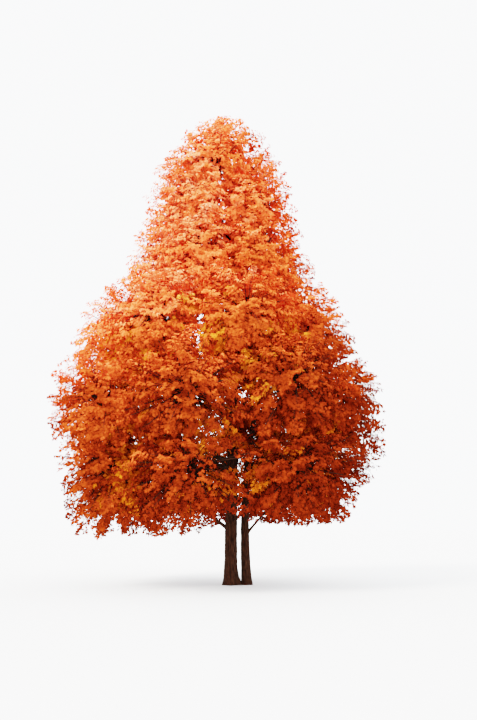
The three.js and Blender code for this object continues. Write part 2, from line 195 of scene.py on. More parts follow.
# Bark: long plates that drift as they go up, with small scales on them. The lengths are along the limb.
BARK_RELIEF = {
    "plate_width": 0.042,
    "plate_length": 0.26,
    "least_plates": 5,  # round a limb
    "scales_along": 4,  # on each plate
    "scales_across": 2,
    "drift": 0.125,  # the most that a plate drifts, in turns round the limb
    "drift_cells": 4,
    "drift_length": 0.5,
    "ridge_power": 0.8,
    "ridges": 0.75,  # what the plates add to the relief
    "scales": 0.35,  # and what the scales add
    "level": 0.6,  # the relief that lies at the limb's own radius
    "most": 0.12,  # share of the radius that the relief's depth never passes
}
BARK_SEED = 100
BARK_SEED_STEP = 10

# How finely each kind of limb is meshed, and how deep its relief is. The trunk has two stretches, each with
# its heights and its number of rings, which are closer below, where it is bare.
TRUNK_BARK = {"sides": 96, "bare": (0, 3.4, 120), "hidden": (3.5, MAIN_STEM["height"], 90), "depth": 0.021}
SECOND_BARK = {"sides": 72, "rings": 170, "depth": 0.017}
BOUGH_BARK = {"sides": 20, "rings": 60, "depth": 0.006}
STEM_BARK = {"sides": 8, "rings": 12}

# Looks of the wood: its colours, and how fine the grain is that they are mixed by
BARK_LOOK = {"dark": (0.005, 0.0018, 0.0009), "light": (0.036, 0.0145, 0.0075), "grain": 26.0}
TWIG_LOOK = {"dark": (0.008, 0.003, 0.0015), "light": (0.03, 0.011, 0.006), "grain": 40.0}
WOOD = {
    "roughness": 0.92,
    "specular": 0.05,
    "stretch": 0.22,  # the grain's scale along the limbs, as a share of its scale across them
    "detail": 7.0,
    "grain_roughness": 0.62,
    "all_dark": 0.33,  # the grain's value up to which it is dark
    "all_light": 0.7,  # and from which it is light
    "bump": 0.6,
    "bump_depth": 0.006,
}

# Leaves
LEAF_COUNT = 195000
LEAF_SIZES = {"outside": 0.095, "inside": 0.175}  # shade leaves are larger
LEAF_SHARES = {"outside": 1.25, "inside": 0.8}  # and they stand further apart
INSIDE = 0.5  # how deep in the crown shade leaves are, in shares of its reach
INSIDE_HEIGHT = 1.2  # and how high above its underside
STALK_ANGLE = math.radians(55)
LEAF_DROOP = 0.3
LEAF_FACING = {"outward": 0.6, "up": 0.5, "by_chance": 0.45}
LEAF_START = (0.4, 0.9)  # how far along its own stretch of twig a pair of leaves sits, from least to most
LEAF_SPIN = 0.5  # how far a pair is turned round its twig by chance, either way, in radians
LEAF_SIZE_SPREAD = (0.72, 1.2)  # in shares of the size at its place
LEAF_CURL = (0.4, 1.8)  # in shares of how far the outline stands up
LEAF_LOOK = {"roughness": 0.9, "specular": 0.0}

# A leaf's outline in shares of its length: along it, to its right, and how far it stands up.
# It runs from the foot round three pointed lobes.
LEAF_SIDE = [(0.58, 0.42, -0.07), (0.63, 0.17, 0.03)]
LEAF_TIP = (1.0, 0.0, -0.14)
LEAF_OUTLINE = [(0.0, 0.0, 0.0), *LEAF_SIDE, LEAF_TIP, *[(a, -b, c) for a, b, c in reversed(LEAF_SIDE)]]
LEAF_FACES = [(0, i, i + 1) for i in range(1, len(LEAF_OUTLINE) - 1)]

# Tints from the deepest to the palest, dealt out partly as painted light and shade, and the golden ones that
# some leaves in the shade have, which also stand in as a painted glow of light through the leaves
TINTS = [
    (0.14, 0.0135, 0.0025),
    (0.22, 0.0225, 0.004),
    (0.38, 0.038, 0.0075),
    (0.64, 0.066, 0.015),
    (0.91, 0.106, 0.030),
    (0.98, 0.160, 0.060),
    (0.99, 0.230, 0.110),
]
GOLDEN_SHADE_AND_GLOW_TINTS = [(0.48, 0.085, 0.006), (0.78, 0.158, 0.016), (0.96, 0.255, 0.042)]

# The tone of the leaves by height, both in shares, from the deepest tint to the palest: painted shade deepens
# the lower crown and painted sunlight pales its top
TONE_HEIGHTS = [0.1, 0.2, 0.33, 0.5, 0.75, 0.95]
PAINTED_LIGHT_TONES = [0.0, 0.03, 0.22, 0.6, 0.75, 0.72]
PAINTED_SUN_SIDE_TONE = 0.24  # painted sunlight: how much paler the edge on the sunlit side is than the middle, with the far edge deeper as painted shade
PAINTED_TOP_LIGHT_TONE = 0.08  # painted light: how much paler the upper side of a mass is than its middle, with its underside deeper as painted shade
PAINTED_INNER_SHADE_TONE = 0.04  # painted shade: how much deeper the tint is inside the crown
SPRAY_TONE_SPREAD = 0.09
TWIG_TONE_SPREAD = 0.05
SHADE = {
    "depth": 0.3,  # how deep in the crown golden sprays start, in shares of the shadiest
    "most": 0.65,  # the share of sprays that are golden where it is shadiest
    "height": 0.52,  # the share of the tree's height above which none are
}
GROWTH_SEED = 7  # of the side twigs, the leaves and their tints

# The crown's outside is uneven: leaves are missing where a sum of waves in space is high
UNEVENNESS = {
    "waves": 9,
    "shortest": 0.8,
    "longest": 2.0,
    "seed": 3906,
    "start": 0.3,  # the height of the sum at which a bite starts
    "deepest": 0.36,
}

# The window through which the main stem and the start of its boughs show above the skirt: a tube between
# two points, with no leaves near its middle line and fewer of them to either side
WINDOW = {
    "front": np.array([-0.08, -5.4, 3.0]),
    "back": np.array([-0.08, 0.0, 3.6]),
    "radius": 0.28,
    "width": 3.6,  # how many times as wide the part with fewer leaves is
    "thinning": 0.75,  # the share of leaves that is missing there
}

# The photograph's view: the film's height and the lens in millimetres, and the tilt up in degrees
CAMERA = {"place": (0.225, -21.0, 1.6), "tilt": 13.46, "film": 36.0, "lens": 35.0, "far": 1000.0}
SKY = {"colour": (0.94, 0.97, 1.0, 1.0), "strength": 5.8}
SUN = {"from": (-0.8, -0.75, 0.9), "strength": 8.0, "spread": math.radians(20), "colour": (1.0, 0.94, 0.84)}
FLOOR = {"half": 400.0, "drop": 0.001, "colour": (0.75, 0.745, 0.74), "roughness": 0.95, "specular": 0.5}


def dice(seed):
    """Seeded numbers from 0 to 1, the same ones that the solids were grown by."""
    state = (seed * 2654435761) % 2**32
    while True:
        state = (state * 1664525 + 1013904223) % 2**32
        yield state / 2**32


def between(low, high, share):
    return low + (high - low) * share


def unit(vectors):
    return vectors / np.linalg.norm(vectors, axis=-1, keepdims=True)


def turned(vector, axis, angle):
    """The vector turned round a unit axis."""
    along = axis * np.dot(vector, axis)
    return along + (vector - along) * math.cos(angle) + np.cross(axis, vector) * math.sin(angle)


def crown_reach(z):
    return np.interp(z, CROWN_HEIGHTS, CROWN_REACHES, right=0.0)


def crown_middle(z):
    return np.interp(z, CROWN_HEIGHTS, CROWN_MIDDLES)


def crown_underside(x, y):
    """It hangs lower to either side of the stems than before them, with a ripple."""
    aside = (x - UNDERSIDE["x"]) / UNDERSIDE["width"]
    drop = np.where(aside < 0, UNDERSIDE["left"], UNDERSIDE["right"]) * np.minimum(1, np.abs(aside))
    ripple = np.sin(x / UNDERSIDE["wave"]) * np.cos(y / UNDERSIDE["wave"])
    return UNDERSIDE["height"] - drop + UNDERSIDE["ripple"] * ripple


def bezier(a, b, c):
    """A quadratic curve, as a function of an array of shares."""

    def path(t):
        t = np.asarray(t, dtype=float)[..., None]
        return a * (1 - t) ** 2 + b * 2 * t * (1 - t) + c * t**2

    return path


class Limb:
    """A path and a radius along it. A level limb's rings lie flat, and another's are square to it."""

    def __init__(self, name, path, radius, side=UP, level=False, square_to=None, bark_radius=None):
        self.name = name
        self.path = path
        self.radius = radius
        self.bark_radius = bark_radius or radius
        self.side = side
        self.level = level
        self.square_to = square_to
        points = path(np.arange(LIMB_SAMPLES + 1) / LIMB_SAMPLES)
        self.starts = points[:-1]
        self.runs = points[1:] - points[:-1]
        self.sample_radii = radius((np.arange(LIMB_SAMPLES) + 0.5) / LIMB_SAMPLES)

    def headings(self, t):
        t = np.asarray(t, dtype=float)
        if self.level:
            return np.broadcast_to(UP, t.shape + (3,)).copy()
        step = 0.01
        headings = unit(self.path(np.minimum(1, t + step)) - self.path(np.maximum(0, t - step)))
        if self.square_to is not None:
            headings[t == 0] = self.square_to
        return headings


# The two stems


def main_stem_path(t):
    z = np.asarray(t, dtype=float) * MAIN_STEM["height"]
    x = MAIN_STEM["lean"] * np.sin(np.pi * z / MAIN_STEM["lean_length"]) ** 2
    return np.stack([x, np.zeros_like(z), z], axis=-1)


def main_stem_radius(t, outward=UP):
    t = np.asarray(t, dtype=float)
    angle = np.arctan2(outward[..., 1], outward[..., 0])
    lobes = 1 + MAIN_STEM["buttress_depth"] * np.cos(MAIN_STEM["buttresses"] * angle)
    towards_second = np.maximum(0, outward @ unit(SECOND_STEM["foot"]))
    foot = MAIN_STEM["flare"] * lobes + MAIN_STEM["bridge"] * towards_second ** MAIN_STEM["bridge_width"]
    fade = np.exp(-t * MAIN_STEM["height"] / MAIN_STEM["flare_height"])
    return between(MAIN_STEM["radius"], MAIN_STEM["tip"], t ** MAIN_STEM["taper"]) + foot * fade


def second_stem_radius(t, outward=UP):
    t = np.asarray(t, dtype=float)
    fade = np.exp(-t * SECOND_STEM["top"][2] / SECOND_STEM["flare_height"])
    return between(SECOND_STEM["radius"], SECOND_STEM["tip"], t) + SECOND_STEM["flare"] * fade


SIDEWAYS = np.array([0.0, 1.0, 0.0])
main_stem = Limb("trunk", main_stem_path, main_stem_radius, side=SIDEWAYS, level=True)
second_path = bezier(SECOND_STEM["foot"], SECOND_STEM["waist"], SECOND_STEM["top"])
second_stem = Limb("second_stem", second_path, second_stem_radius, side=SIDEWAYS, level=True)


def stem_at_height(stem, z):
    return stem.path(z / stem.path(1)[2])


# Masses, their boughs and their own stems


def lay_out_masses():
    masses = []
    for tier in TIERS:
        for i in range(tier["count"]):
            number = len(masses)
            roll = dice(number + 1)
            alone = tier["count"] == 1
            turn = between(-BEARING_JITTER, BEARING_JITTER, next(roll))
            bearing = math.radians(tier["bearing"] + 360 * i / tier["count"] + turn)
            outward = np.array([math.cos(bearing), math.sin(bearing), 0.0])
            z = tier["height"] + (0 if alone else between(-HEIGHT_JITTER, HEIGHT_JITTER, next(roll)))
            reach = max(0, crown_reach(z) - MASS_DEPTH)
            site = outward * reach + np.array([crown_middle(z), 0.0, z])
            label = tier["name"] if alone else f"{tier['name']}_{i + 1}"
            mass = {"number": number, "tier": tier, "i": i, "alone": alone, "label": label}
            masses.append({**mass, "outward": outward, "site": site})
    sites = np.array([mass["site"] for mass in masses])
    for mass in masses:
        others = np.delete(sites, mass["number"], axis=0)
        mass["walls"] = unit(others - mass["site"])
        middles = (others + mass["site"]) / 2
        mass["wall_offsets"] = (middles * mass["walls"]).sum(axis=1) - MASS_MARGIN
    return masses


def carrier_of(mass):
    is_low = mass["tier"]["start"] < SECOND_STEM["last_tier"]
    towards_second = mass["outward"] @ unit(SECOND_STEM["foot"])
    return second_stem if is_low and towards_second > SECOND_STEM["sector"] else main_stem


def start_height(mass):
    tier = mass["tier"]
    return tier["start"] + tier["step"] * (mass["i"] * STAGGER % tier["count"])


def bough_of(mass):
    root = stem_at_height(carrier_of(mass), start_height(mass))
    inward = unit((root - mass["site"]) * [1, 1, 0])
    end = mass["site"] + inward * BOUGH["entry"] - UP * BOUGH["drop"]
    middle = (root + end) / 2 + UP * mass["tier"]["arch"]
    base = BOUGH["radius"] * math.sqrt(np.linalg.norm(end - root) / BOUGH["length"])

    def radius(t, outward=UP):
        t = np.asarray(t, dtype=float)
        return base * (between(1, BOUGH["tip"], t) + BOUGH["collar"] * np.exp(-t / BOUGH["collar_length"]))

    name = f"bough_{mass['label']}"
    return Limb(name, bezier(root, middle, end), radius, side=unit(np.cross(UP, inward)))


def tapered(radius):
    return lambda t, outward=UP: radius * between(1, STEM["tip"], np.asarray(t, dtype=float))


def stem_on_tip(mass, limb, radius, end):
    """A stem that runs on from a limb's tip, with bark as thick as that tip."""
    heading = limb.headings(np.array([1.0]))[0]
    start = limb.path(1) + heading * CLEARANCE
    middle = start + heading * np.linalg.norm(mass["site"] - start) / 2
    tip_radius = float(limb.bark_radius(np.array(1.0)))
    name = f"stem_{mass['label']}"
    path = bezier(start, middle, end)
    side = SIDEWAYS if limb.level else UP
    return Limb(name, path, tapered(radius), side=side, square_to=heading, bark_radius=tapered(tip_radius))


def stem_of(mass, bough):
    if mass["alone"]:
        return stem_on_tip(mass, main_stem, MAIN_STEM["tip"], mass["site"] + UP * TOP_STEM_RISE)
    end = mass["site"] + mass["outward"] * STEM["out"] + UP * STEM["rise"]
    if bough:
        return stem_on_tip(mass, bough, float(bough.radius(1.0)) * STEM["on_bough"], end)
    if mass["label"] == SECOND_STEM["ends_in"]:
        return stem_on_tip(mass, second_stem, SECOND_STEM["tip"], end)
    height = start_height(mass)
    root = stem_at_height(main_stem, height)
    middle = (root + mass["site"]) / 2 + UP * STEM["arch"]
    trunk_radius = float(main_stem.radius(height / MAIN_STEM["height"]))
    name = f"stem_{mass['label']}"
    path = bezier(root, middle, end)
    bark_radius = tapered(trunk_radius * STEM_ROUND)
    return Limb(name, path, tapered(trunk_radius * STEM["on_trunk"]), bark_radius=bark_radius)


# The rule that twigs and sprays grow by


def in_crown(points):
    x, y, z = points.T
    is_within_reach = np.hypot(x - crown_middle(z), y) <= crown_reach(z)
    return is_within_reach & (z <= TREE_HEIGHT) & (z >= crown_underside(x, y))


def bites(points):
    """How deep the uneven outside is bitten into at points, in metres."""
    rng = np.random.default_rng(UNEVENNESS["seed"])
    waves = unit(rng.normal(size=(UNEVENNESS["waves"], 3)))
    lengths = rng.uniform(UNEVENNESS["shortest"], UNEVENNESS["longest"], UNEVENNESS["waves"])
    phases = rng.uniform(0, 2 * math.pi, UNEVENNESS["waves"])
    swell = np.sin(points @ (waves * 2 * math.pi / lengths[:, None]).T + phases).sum(axis=1)
    swell /= math.sqrt(UNEVENNESS["waves"] / 2)
    return UNEVENNESS["deepest"] * np.clip(swell - UNEVENNESS["start"], 0, 1)


def window_openness(points):
    """The share of leaves that the window leaves out at points."""
    run = WINDOW["back"] - WINDOW["front"]
    share = np.clip((points - WINDOW["front"]) @ run / (run @ run), 0, 1)
    offsets = points - WINDOW["front"] - share[:, None] * run
    is_near = np.linalg.norm(offsets, axis=1) < WINDOW["radius"]
    is_beside = np.linalg.norm(offsets / [WINDOW["width"], 1, 1], axis=1) < WINDOW["radius"]
    return np.where(is_near, 1, is_beside * WINDOW["thinning"])


def holds_leaf(points):
    """Whether leaves may stand at points: in the crown, under its bites and out of the window's middle."""
    x, y, z = points.T
    is_outside = np.hypot(x - crown_middle(z), y) > crown_reach(z) - bites(points)
    return in_crown(points) & ~is_outside & (window_openness(points) < 1)


def is_inside(mass, points):
    inside = in_crown(points) & (np.linalg.norm(points - mass["site"], axis=1) <= MASS_RADIUS)
    return inside & (points @ mass["walls"].T <= mass["wall_offsets"]).all(axis=1)


def room_along(mass, start, heading):
    steps = np.arange(1, int(2 * MASS_RADIUS / MARCH) + 2)
    inside = is_inside(mass, start + heading * (steps * MARCH)[:, None])
    return MARCH * float(np.argmin(inside))


def stretches(limbs):
    """The straight stretches that limbs are measured as: their starts, runs and radii."""
    starts = np.concatenate([limb.starts for limb in limbs])
    runs = np.concatenate([limb.runs for limb in limbs])
    return starts, runs, np.concatenate([limb.sample_radii for limb in limbs])


def near(limbs, mass):
    """The stretches of limbs that could touch this mass."""
    starts, runs, radii = stretches(limbs)
    reach = MASS_RADIUS + LIMB_MARGIN
    close = np.linalg.norm(starts + runs / 2 - mass["site"], axis=1) < reach + np.linalg.norm(runs, axis=1)
    return starts[close], runs[close], radii[close]


def is_clear(points, limbs, clearance):
    starts, runs, radii = limbs
    if len(starts) == 0:
        return True
    offsets = points[:, None, :] - starts
    shares = np.clip((offsets * runs).sum(axis=2) / (runs * runs).sum(axis=1), 0, 1)
    gaps = np.linalg.norm(offsets - shares[..., None] * runs, axis=2)
    return bool((gaps >= radii + clearance).all())


def even_direction(k, count, turn, outward):
    """One of a count of directions that are spread evenly, from outward round to inward."""
    forward = 1 - (2 * k + 1) / count
    angle = k * GOLDEN_ANGLE + turn
    side = np.array([-outward[1], outward[0], 0.0])
    direction = side * math.cos(angle) + UP * math.sin(angle)
    return direction * math.sqrt(1 - forward**2) + outward * forward


def spray_points(spray):
    """Points all over a spray, which is a kite that is widest half way along."""
    points = []
    for along in SPRAY_ROWS:
        half = (0.5 - abs(along - 0.5)) * spray["length"] * SPRAY_WIDTH
        middle = spray["root"] + spray["heading"] * along * spray["length"]
        for side in SPRAY_COLUMNS if along < 1 else (0,):
            points.append(middle + spray["across"] * side * half)
    return np.array(points)


def is_apart(points, sprays, gap):
    if not sprays:
        return True
    others = np.concatenate([spray["points"] for spray in sprays])
    others = others[np.linalg.norm(others - points.mean(axis=0), axis=1) < NEIGHBOUR_REACH]
    squares = ((points[:, None, :] - others) ** 2).sum(axis=2)
    return bool((squares > gap**2).all())


def add_spray(place, growth, mass, sprays):
    """Adds the longest spray that fits at its place, and says whether one did."""
    room = min(growth["most"], room_along(mass, place["root"], place["heading"]))
    for share in SPRAY_SHARES:
        spray = {**place, "length": room * share}
        if spray["length"] < growth["least"]:
            return False
        points = spray["points"] = spray_points(spray)
        if not is_inside(mass, points).all() or not is_clear(points, mass["others"], LIMB_CLEARANCE):
            continue
        if not is_apart(points, sprays, growth["gap"]) or not is_clear(points, mass["own"], STEM_CLEARANCE):
            continue
        sprays.append(spray)
        return True
    return False


def beside_twig(twig, along, spin):
    """The place of a spray that leaves a twig part of the way along, to the side that the spin gives."""
    spread = turned(twig["across"], twig["heading"], spin)
    normal = np.cross(twig["heading"], spread)
    return {
        "from": None,
        "root": twig["from"] + (twig["root"] - twig["from"]) * along,
        "heading": turned(twig["heading"], normal, PAIR_ANGLE),
        "across": turned(spread, normal, PAIR_ANGLE),
    }


def grow(mass, growth, sprays):
    """Twigs from a mass's stem in even directions, with their sprays."""
    roll = dice(growth["seed"] + mass["number"])
    turn = next(roll) * 2 * math.pi
    for k in range(growth["directions"]):
        direction = even_direction(k, growth["directions"], turn, mass["outward"])
        tilt = math.radians(between(-growth["roll"], growth["roll"], next(roll)))
        forward = direction @ mass["outward"]
        if forward < growth["inward"] and not mass["alone"]:
            continue
        share = between(STEM_SHARES["back"], STEM_SHARES["front"], (forward + 1) / 2)
        start = mass["stem"].path(share)
        room = room_along(mass, mass["site"], direction)
        root = mass["site"] + direction * room * growth["share"]
        twig_points = np.array([start, (start + root) / 2, root])
        if not is_inside(mass, twig_points).all():
            continue
        if not is_clear(twig_points, mass["others"], TWIG_CLEARANCE):
            continue
        heading = unit(root - start)
        level = mass["outward"] if abs(heading[2]) > STEEP else UP
        across = turned(unit(np.cross(level, heading)), heading, tilt)
        twig = {"from": start, "root": root, "heading": heading, "across": across}
        if not add_spray(twig, growth, mass, sprays):
            continue
        for pair in PAIRS:
            for half in (0, math.pi):
                add_spray(beside_twig(twig, pair["along"], pair["spin"] + half), growth, mass, sprays)


def grow_tree():
    """All the limbs and masses, each mass with its stem and sprays."""
    masses = lay_out_masses()
    boughs = []
    for mass in masses:
        has_bough = mass["tier"]["arch"] is not None and mass["label"] != SECOND_STEM["ends_in"]
        bough = bough_of(mass) if has_bough else None
        if bough:
            boughs.append(bough)
        mass["stem"] = stem_of(mass, bough)
    limbs = [main_stem, second_stem, *boughs, *(mass["stem"] for mass in masses)]
    for mass in masses:
        mass["others"] = near([limb for limb in limbs if limb is not mass["stem"]], mass)
        mass["own"] = stretches([mass["stem"]])
        mass["sprays"] = []
        for growth in GROWTHS:
            grow(mass, growth, mass["sprays"])
    return masses, boughs


# Meshes from arrays


def add_piece(name, points, triangles, material):
    """A smooth mesh of triangles that rides on the tree's one body."""
    mesh = bpy.data.meshes.new(name)
    mesh.vertices.add(len(points))
    mesh.vertices.foreach_set("co", np.ascontiguousarray(points, dtype=np.float32).ravel())
    mesh.loops.add(triangles.size)
    mesh.loops.foreach_set("vertex_index", np.ascontiguousarray(triangles, dtype=np.int32).ravel())
    mesh.polygons.add(len(triangles))
    mesh.polygons.foreach_set("loop_start", np.arange(0, triangles.size, 3, dtype=np.int32))
    mesh.polygons.foreach_set("use_smooth", np.ones(len(triangles), dtype=bool))
    mesh.update(calc_edges=True)
    mesh.materials.append(material)
    piece = bpy.data.objects.new(name, mesh)
    bpy.context.scene.collection.objects.link(piece)
    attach(piece, "root")
    return piece


def repeat_triangles(template, copies, points_each):
    """A template's triangles for every copy of it in one joined mesh."""
    offsets = np.arange(copies)[:, None, None] * points_each
    return (np.asarray(template) + offsets).reshape(-1, 3)


def ring_walls(rings, sides):
    """Triangles between rings of points that follow one another."""
    triangles = []
    for ring in range(rings - 1):
        for side in range(sides):
            a = ring * sides + side
            b = ring * sides + (side + 1) % sides
            triangles += [(a, b, b + sides), (a, b + sides, a + sides)]
    return triangles


def ring_grid(rings, sides):
    """Triangles between rings of points, with both ends closed by a fan from a middle point."""
    triangles = ring_walls(rings, sides)
    last = (rings - 1) * sides
    low = rings * sides
    high = low + 1
    for side in range(sides):
        after = (side + 1) % sides
        triangles += [(after, side, low), (last + side, last + after, high)]
    return np.array(triangles)


def spikes(paths, radii):
    """Thin twigs along paths, with a radius at each point but the last, where they come to a tip."""
    count, steps, _ = paths.shape
    headings = unit(np.gradient(paths, axis=1))
    level = np.where(np.abs(headings[..., 2:]) > STEEP, [1.0, 0.0, 0.0], UP)
    across = unit(np.cross(level, headings))
    beside = np.cross(headings, across)
    angles = np.arange(TWIG_SIDES)[:, None] * 2 * np.pi / TWIG_SIDES
    spokes = across[:, :-1, None] * np.cos(angles) + beside[:, :-1, None] * np.sin(angles)
    rings = paths[:, :-1, None] + spokes * radii[:, :, None, None]
    points = np.concatenate([rings.reshape(count, -1, 3), paths[:, -1:]], axis=1)
    last = (steps - 2) * TWIG_SIDES
    tip = (steps - 1) * TWIG_SIDES
    triangles = ring_walls(steps - 1, TWIG_SIDES)
    triangles += [(last + side, last + (side + 1) % TWIG_SIDES, tip) for side in range(TWIG_SIDES)]
    return points.reshape(-1, 3), repeat_triangles(triangles, count, tip + 1)


# Materials


def new_material(name, roughness, specular):
    """A material with this roughness and specular level, and its shader."""
    material = bpy.data.materials.new(name)
    material.use_nodes = True
    shader = material.node_tree.nodes["Principled BSDF"]
    shader.inputs["Roughness"].default_value = roughness
    shader.inputs["Specular IOR Level"].default_value = specular
    return material, shader


def leaf_material(name, tint):
    material, shader = new_material(name, **LEAF_LOOK)
    shader.inputs["Base Color"].default_value = (*tint, 1.0)
    material.diffuse_color = (*tint, 1.0)
    return material


def wood_material(name, look):
    """Wood whose colours are mixed by a grain that is drawn out along the limbs and lifts the surface."""
    material, shader = new_material(name, WOOD["roughness"], WOOD["specular"])
    nodes = material.node_tree.nodes
    link = material.node_tree.links.new
    place = nodes.new("ShaderNodeTexCoord")
    stretch = nodes.new("ShaderNodeMapping")
    stretch.inputs["Scale"].default_value = (1.0, 1.0, WOOD["stretch"])
    link(place.outputs["Object"], stretch.inputs["Vector"])
    grain = nodes.new("ShaderNodeTexNoise")
    grain.inputs["Scale"].default_value = look["grain"]
    grain.inputs["Detail"].default_value = WOOD["detail"]
    grain.inputs["Roughness"].default_value = WOOD["grain_roughness"]
    link(stretch.outputs["Vector"], grain.inputs["Vector"])
    ramp = nodes.new("ShaderNodeValToRGB")
    dark, light = ramp.color_ramp.elements
    dark.position = WOOD["all_dark"]
    dark.color = (*look["dark"], 1.0)
    light.position = WOOD["all_light"]
    light.color = (*look["light"], 1.0)
    link(grain.outputs["Fac"], ramp.inputs["Fac"])
    link(ramp.outputs["Color"], shader.inputs["Base Color"])
    bump = nodes.new("ShaderNodeBump")
    bump.inputs["Strength"].default_value = WOOD["bump"]
    bump.inputs["Distance"].default_value = WOOD["bump_depth"]
    link(grain.outputs["Fac"], bump.inputs["Height"])
    link(bump.outputs["Normal"], shader.inputs["Normal"])
    return material


# Bark


def eased(share):
    """A share from 0 to 1 with a smooth start and end."""
    return share * share * (3 - 2 * share)


def bark_noise(around, along, cells, seed):
    """Smooth noise from 0 to 1 that closes on itself round the limb. Places along it are counted in cells."""
    rows = int(along.max()) + 2
    knots = np.random.default_rng(seed).random((rows, cells))
    row = np.floor(along).astype(int)
    column = np.floor(around * cells).astype(int)
    here = column % cells
    after = (column + 1) % cells
    column_share = eased(around * cells - column)
    low = between(knots[row, here], knots[row, after], column_share)
    high = between(knots[row + 1, here], knots[row + 1, after], column_share)
    return between(low, high, eased(along - row))


def bark_relief(around, along, girth, seed):
    """How far bark stands out, from 0 in its fissures to 1."""
    relief = BARK_RELIEF
    plates_around = max(relief["least_plates"], round(girth / relief["plate_width"]))
    scale_length = relief["plate_length"] / relief["scales_along"]
    scales_around = plates_around * relief["scales_across"]
    drift = bark_noise(around, along / relief["drift_length"], relief["drift_cells"], seed)
    drifted = around + relief["drift"] * drift
    plates = bark_noise(drifted, along / relief["plate_length"], plates_around, seed + 1)
    scales = bark_noise(drifted, along / scale_length, scales_around, seed + 2)
    ridges = 1 - np.abs(2 * plates - 1) ** relief["ridge_power"]
    return np.clip(relief["ridges"] * ridges + relief["scales"] * scales, 0, 1)


def bark_limb(limb, sides, shares, depth=0, seed=0):
    """A limb's bark as rings of points at shares of its length, with relief down to a depth in metres."""
    headings = limb.headings(shares)
    across = unit(limb.side - headings * (headings @ limb.side)[:, None])
    beside = np.cross(across, headings)
    turns = np.arange(sides) / sides
    angles = 2 * np.pi * turns[:, None]
    outward = across[:, None] * np.sin(angles) + beside[:, None] * np.cos(angles)
    radii = limb.bark_radius(np.repeat(shares[:, None], sides, axis=1), outward)
    centres = limb.path(shares)
    if depth > 0:
        steps = np.linalg.norm(np.diff(centres, axis=0), axis=1)
        lengths = np.concatenate([[0], np.cumsum(steps)])
        around = np.broadcast_to(turns, radii.shape)
        along = np.broadcast_to(lengths[:, None], radii.shape)
        girth = 2 * math.pi * float(radii.mean())
        relief = bark_relief(around, along, girth, seed) - BARK_RELIEF["level"]
        radii = radii + relief * np.minimum(depth, BARK_RELIEF["most"] * radii)
    points = (centres[:, None] + outward * radii[..., None]).reshape(-1, 3)
    points = np.concatenate([points, centres[:1], centres[-1:]])
    triangles = ring_grid(len(shares), sides)
    return points, triangles[:, ::-1]


def add_bark(boughs):
    material = wood_material("bark", BARK_LOOK)
    heights = np.concatenate([np.linspace(*TRUNK_BARK["bare"]), np.linspace(*TRUNK_BARK["hidden"])])
    jobs = [(main_stem, TRUNK_BARK, heights / MAIN_STEM["height"])]
    jobs.append((second_stem, SECOND_BARK, np.linspace(0, 1, SECOND_BARK["rings"])))
    jobs += [(bough, BOUGH_BARK, np.linspace(0, 1, BOUGH_BARK["rings"])) for bough in boughs]
    for number, (limb, bark, shares) in enumerate(jobs):
        seed = BARK_SEED + BARK_SEED_STEP * number
        points, triangles = bark_limb(limb, bark["sides"], shares, bark["depth"], seed)
        piece = add_piece(f"bark_{limb.name}", points, triangles, material)
        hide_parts(limb.name)


# Twigs


def spray_table(masses):
    """One row for each spray, as arrays."""
    rows = [(mass, spray) for mass in masses for spray in mass["sprays"]]
    keys = ("root", "heading", "across", "length")
    table = {key: np.array([spray[key] for _, spray in rows]) for key in keys}
    table["normal"] = np.cross(table["heading"], table["across"])
    table["site"] = np.array([mass["site"] for mass, _ in rows])
    table["tier"] = np.array([TIERS.index(mass["tier"]) for mass, _ in rows])
    feet = [spray["root"] if spray["from"] is None else spray["from"] for _, spray in rows]
    table["from"] = np.array(feet)
    return table


def hang(table, of, points):
    """Points of sprays, lowered as each spray sags towards its tip."""
    offsets = points - table["root"][of]
    shares = (offsets * table["heading"][of]).sum(axis=-1) / table["length"][of]
    sag = SPRAY_SAG * table["length"][of] * np.clip(shares, 0, SAG_LIMIT) ** 2
    return points - sag[..., None] * UP


def branch(table, rng):
    """The twigs of all the sprays: each spray's own, and opposite pairs of side twigs out to its outline."""
    spray = np.arange(len(table["length"]))
    start = [table["root"]]
    heading = [table["heading"]]
    length = [table["length"] * SPRAY_AXIS]
    across = [table["across"]]
    of = [spray]
    forward = math.cos(SIDE_TWIG_ANGLE)
    aside = math.sin(SIDE_TWIG_ANGLE)
    pair_counts = np.maximum(LEAST_PAIRS, np.round(table["length"] / SIDE_TWIG_SPACING)).astype(int)
    for hand in (-1, 1):
        parent = np.repeat(spray, pair_counts)
        step = np.concatenate([np.arange(count) for count in pair_counts])
        share = SIDE_TWIG_SPAN * (step + SIDE_TWIG_START) / pair_counts[parent]
        lift = rng.uniform(-SIDE_TWIG_LIFT, SIDE_TWIG_LIFT, len(parent))[:, None]
        side = table["across"][parent] * hand * np.cos(lift) + table["normal"][parent] * np.sin(lift)
        direction = table["heading"][parent] * forward + side * aside
        to_rear = SPRAY_WIDTH * share / (aside - SPRAY_WIDTH * forward)
        to_front = SPRAY_WIDTH * (1 - share) / (aside + SPRAY_WIDTH * forward)
        room = np.minimum(to_rear, to_front) * table["length"][parent]
        foot = table["root"][parent] + table["heading"][parent] * (share * table["length"][parent])[:, None]
        start.append(foot)
        heading.append(direction)
        length.append(room * rng.uniform(*SIDE_TWIG_LENGTHS, len(parent)))
        across.append(unit(np.cross(direction, np.cross(table["heading"][parent], side))))
        of.append(parent)
    parts = (start, heading, length, across, of)
    twigs = dict(zip(("start", "heading", "length", "across", "of"), map(np.concatenate, parts)))
    twigs["normal"] = np.cross(twigs["heading"], twigs["across"])
    return cut_back(table, twigs)


